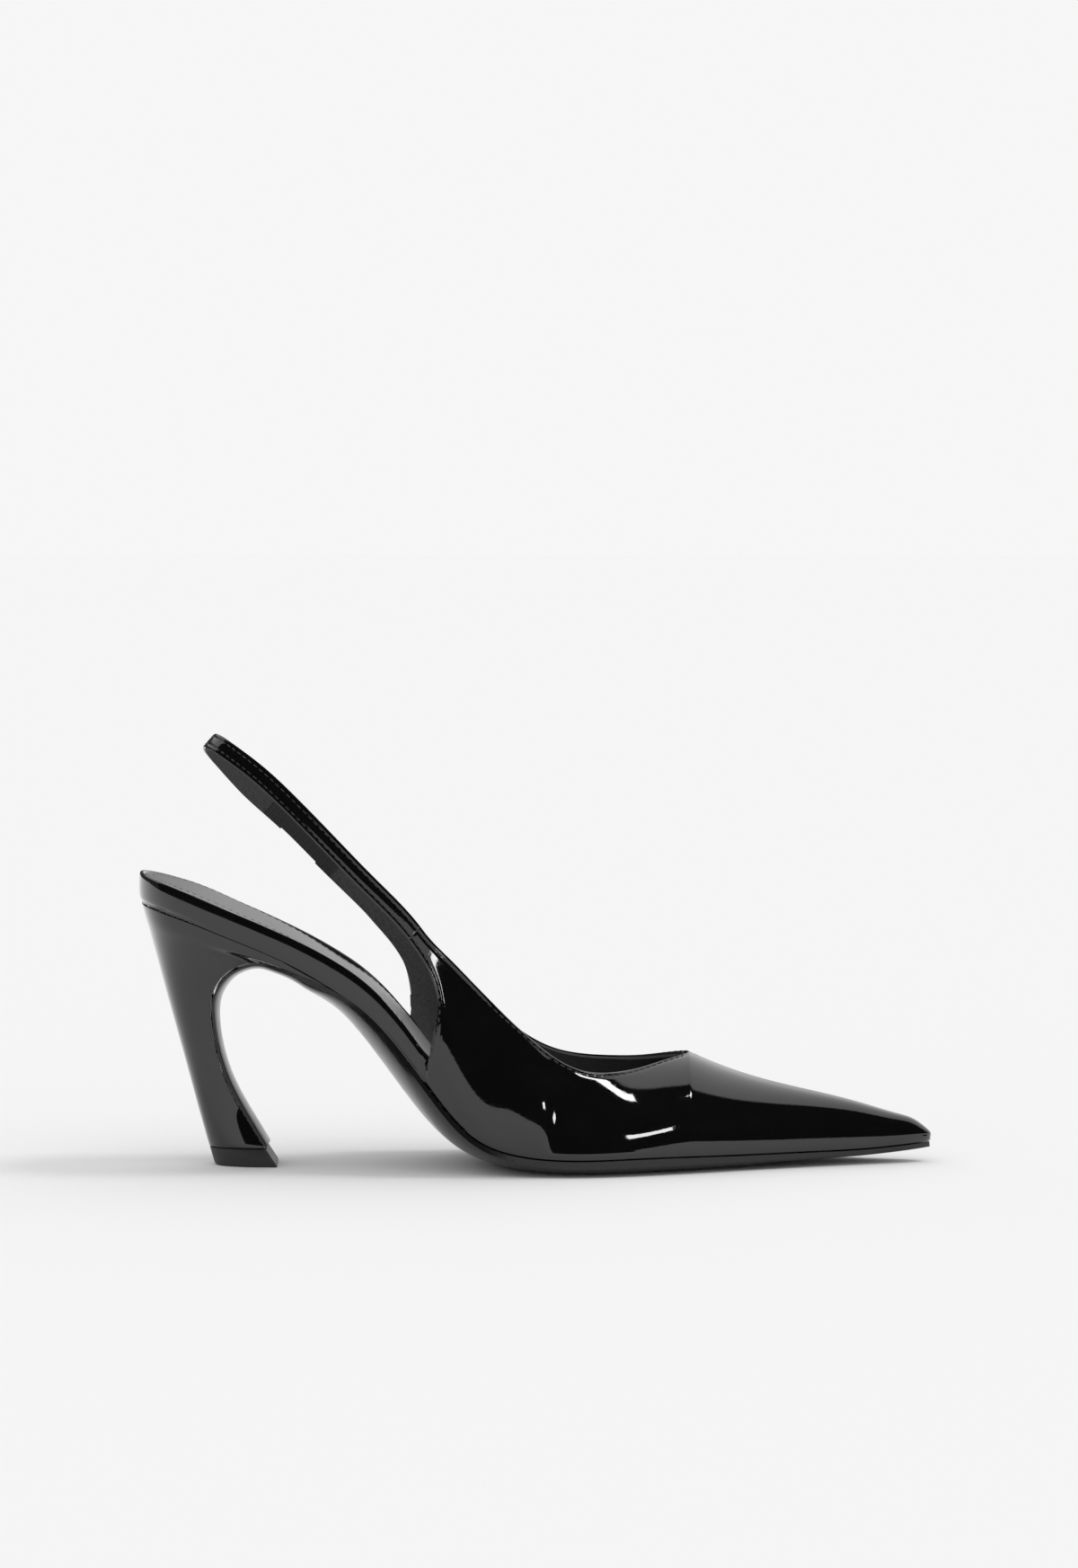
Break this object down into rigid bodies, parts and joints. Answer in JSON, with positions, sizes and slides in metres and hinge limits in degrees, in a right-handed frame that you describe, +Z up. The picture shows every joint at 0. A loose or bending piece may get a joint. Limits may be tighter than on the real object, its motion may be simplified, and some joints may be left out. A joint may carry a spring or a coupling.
{
  "type": "high heel pump",
  "caption": "Pointed-toe slingback pump with a slim flared heel, one-piece patent upper, covered seat band, elastic gore in the heel strap and a sole that runs down the heel breast.",
  "frame": {"origin": "centre of the bounding box on the floor plane the shoe stands on", "axes": "+X towards the toe, +Y towards the medial (inner) side, +Z up; right shoe"},
  "size_m": [0.2337, 0.0752, 0.1274],
  "materials": {
    "patent_leather": "patent, mirror gloss",
    "lining_leather": "matt grained",
    "sock_leather": "satin",
    "sole_leather": "smooth, finished edges",
    "fibre_board": "pressed fibre board",
    "steel": "plain",
    "heel_plastic": "moulded ABS",
    "lift_rubber": "matt",
    "foam": "open foam",
    "elastic": "ribbed elastic webbing"
  },
  "bodies": {
    "shoe": {"vamp_outer": "patent_leather", "toe_puff": "fibre_board", "vamp_lining": "lining_leather", "quarter_lining_lateral": "lining_leather", "quarter_lining_medial": "lining_leather", "heel_cover": "patent_leather", "heel_core": "heel_plastic", "heel_reinforcing_tube": "steel", "top_lift_pin": "steel", "top_lift": "lift_rubber", "outsole": "sole_leather", "bottom_filler": "foam", "insole_board": "fibre_board", "shank_board": "fibre_board", "shank_spring": "steel", "shank_rivet_1": "steel", "shank_rivet_2": "steel", "heel_screw": "steel", "heel_nail_1": "steel", "heel_nail_2": "steel", "heel_nail_3": "steel", "heel_nail_4": "steel", "insole_rand": "patent_leather", "sock_lining": "sock_leather", "heel_pad_foam": "foam"},
    "sling_base": {"lateral_strap_root": "patent_leather", "medial_strap_root": "patent_leather", "medial_tab_outer": "patent_leather", "medial_tab_lining": "lining_leather", "elastic_gore": "elastic"},
    "sling_loop": {"sling_strap_outer": "patent_leather", "sling_strap_lining": "lining_leather"}
  },
  "joints": [
    {"name": "strap_swing", "type": "hinge", "parent": "shoe", "child": "sling_base", "pos_m": [-0.0332, -0.0295, 0.0675], "axis": [-0.188, 0.9819, 0.0216], "range_deg": [-18, 60], "stiffness_Nm_per_rad": 0.05, "deforming": ["lateral_strap_root", "medial_strap_root"]},
    {"name": "elastic_stretch", "type": "slide", "parent": "sling_base", "child": "sling_loop", "axis": [-0.7302, 0, 0.6832], "range_m": [0, 0.004], "stiffness_N_per_m": 800, "deforming": ["elastic_gore"]}
  ]
}
